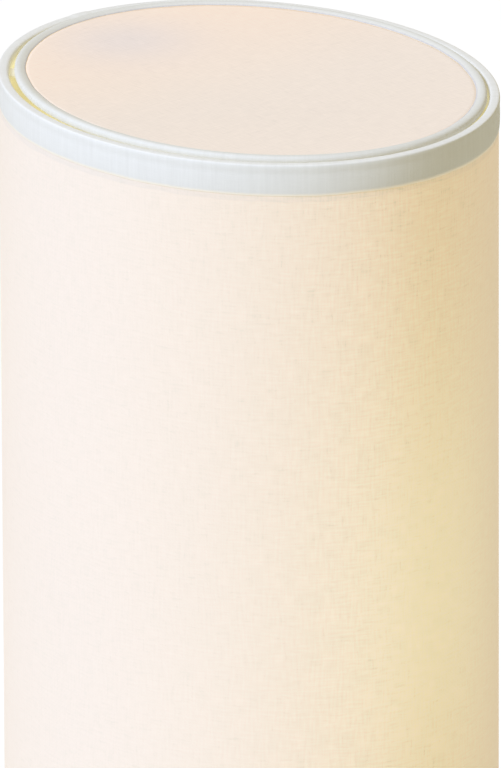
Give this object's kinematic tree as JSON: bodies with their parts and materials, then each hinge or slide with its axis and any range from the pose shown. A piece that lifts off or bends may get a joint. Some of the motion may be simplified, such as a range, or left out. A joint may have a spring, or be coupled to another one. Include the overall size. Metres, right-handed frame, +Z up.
{
  "type": "column floor lamp",
  "caption": "Oval fabric column floor lamp: tall translucent shade with taped rims and a lift-off top diffuser over a weighted stand with lampholders on a stem.",
  "frame": {"origin": "on the floor, at the centre of the oval", "axes": "+Z up the column; X along the oval's long axis; the cord leaves the base towards +Y"},
  "size_m": [0.321, 0.271, 1.5],
  "materials": {
    "shade_fabric": "natural cotton and linen weave, cream",
    "trim_tape": "fine ribbed white tape",
    "lid_fabric": "fine smooth weave, warm white",
    "shade_liner": "translucent white laminate",
    "lid_panel": "opal white sheet",
    "frame_wire": "white lacquered steel wire and flat bar",
    "stand_paint": "fine textured off-white powder coat",
    "bracket_steel": "zinc plated",
    "fixing_steel": "zinc plated screws and nuts",
    "holder_plastic": "white moulded",
    "contact_brass": "bright",
    "bulb_cap": "plated",
    "bulb_glass": "opal",
    "lead_sheath": "white sheath",
    "foot_rubber": "black",
    "bush_plastic": "off-white"
  },
  "bodies": {
    "stand": {"rubber_feet": "foot_rubber", "base_plate": "stand_paint", "cord_bush": "bush_plastic", "locating_tabs": "stand_paint", "stem_flange": "stand_paint", "flange_screws": "fixing_steel", "stem": "stand_paint", "stem_cap": "stand_paint", "holder_bracket_1": "bracket_steel", "holder_bracket_2": "bracket_steel", "holder_bracket_3": "bracket_steel", "lampholder_1": "holder_plastic", "lampholder_2": "holder_plastic", "lampholder_3": "holder_plastic", "bracket_screws": "fixing_steel", "nipples": "fixing_steel", "nipple_nuts": "fixing_steel", "centre_contacts": "contact_brass", "inner_leads": "lead_sheath"},
    "shade": {"shade_fabric": "shade_fabric", "shade_liner": "shade_liner", "top_ring": "frame_wire", "bottom_ring": "frame_wire", "middle_rings": "frame_wire", "shade_stays": "frame_wire", "upper_spider": "frame_wire", "top_tape": "trim_tape", "bottom_tape": "trim_tape", "back_seam": "shade_fabric", "lid_rests": "frame_wire"},
    "lid": {"lid_panel": "lid_panel", "lid_fabric": "lid_fabric", "lid_ring": "frame_wire", "lid_tape": "trim_tape"},
    "bulb_1": {"bulb_cap_1": "bulb_cap", "bulb_glass_1": "bulb_glass"},
    "bulb_2": {"bulb_cap_2": "bulb_cap", "bulb_glass_2": "bulb_glass"},
    "bulb_3": {"bulb_cap_3": "bulb_cap", "bulb_glass_3": "bulb_glass"}
  },
  "joints": [
    {"name": "shade_lift", "type": "slide", "parent": "stand", "child": "shade", "axis": [0, 0, 1], "range_m": [0, 1.5]},
    {"name": "lid_lift", "type": "slide", "parent": "shade", "child": "lid", "axis": [0, 0, 1], "range_m": [0, 0.15]},
    {"name": "bulb_1_draw", "type": "slide", "parent": "stand", "child": "bulb_1", "axis": [0, 0, 1], "range_m": [0, 0.03]},
    {"name": "bulb_2_draw", "type": "slide", "parent": "stand", "child": "bulb_2", "axis": [0, 0, 1], "range_m": [0, 0.03]},
    {"name": "bulb_3_draw", "type": "slide", "parent": "stand", "child": "bulb_3", "axis": [0, 0, 1], "range_m": [0, 0.03]}
  ]
}
